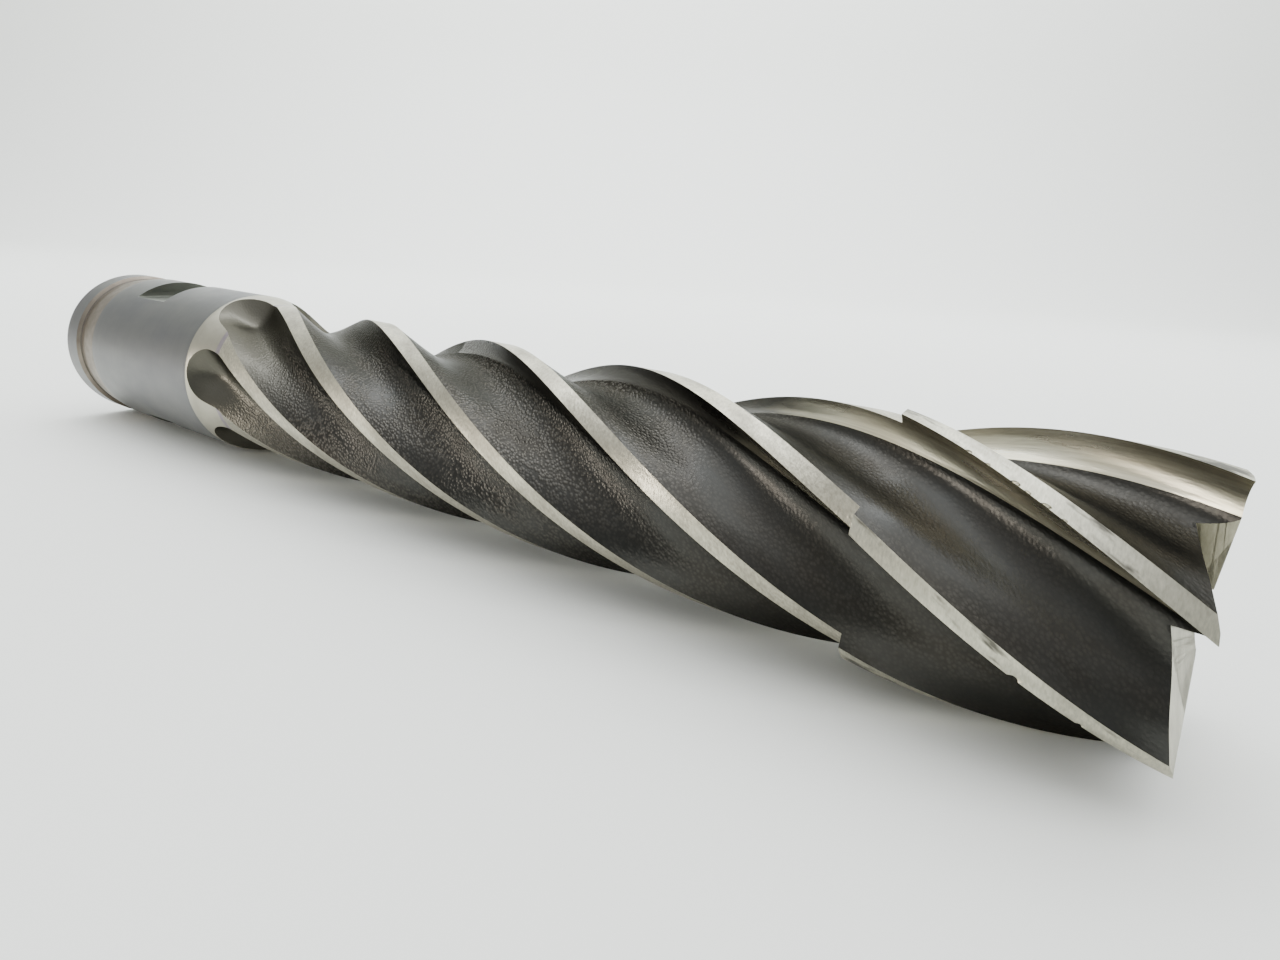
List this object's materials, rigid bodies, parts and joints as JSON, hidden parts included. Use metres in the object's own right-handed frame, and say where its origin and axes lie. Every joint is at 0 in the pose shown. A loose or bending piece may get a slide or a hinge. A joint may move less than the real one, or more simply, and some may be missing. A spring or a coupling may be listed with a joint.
{
  "type": "end mill",
  "caption": "Long-series spiral-flute end mill with a grooved combination shank, a relieved neck and a full-diameter cutting tip.",
  "frame": {"origin": "on the tool's axis, in the plane of the shank's rear face", "axes": "+X along the tool's axis towards the cutting end, +Z square to the upper drive flat and out of it, +Y to the left when looking along +X"},
  "size_m": [0.3434, 0.0508, 0.0508],
  "materials": {
    "shank_steel": "cylindrically ground, satin grey",
    "cutter_steel": "steam-oxidised flutes, ground lands and end"
  },
  "bodies": {
    "root": {"shank": "shank_steel", "fluted_cutter": "cutter_steel"}
  },
  "joints": []
}
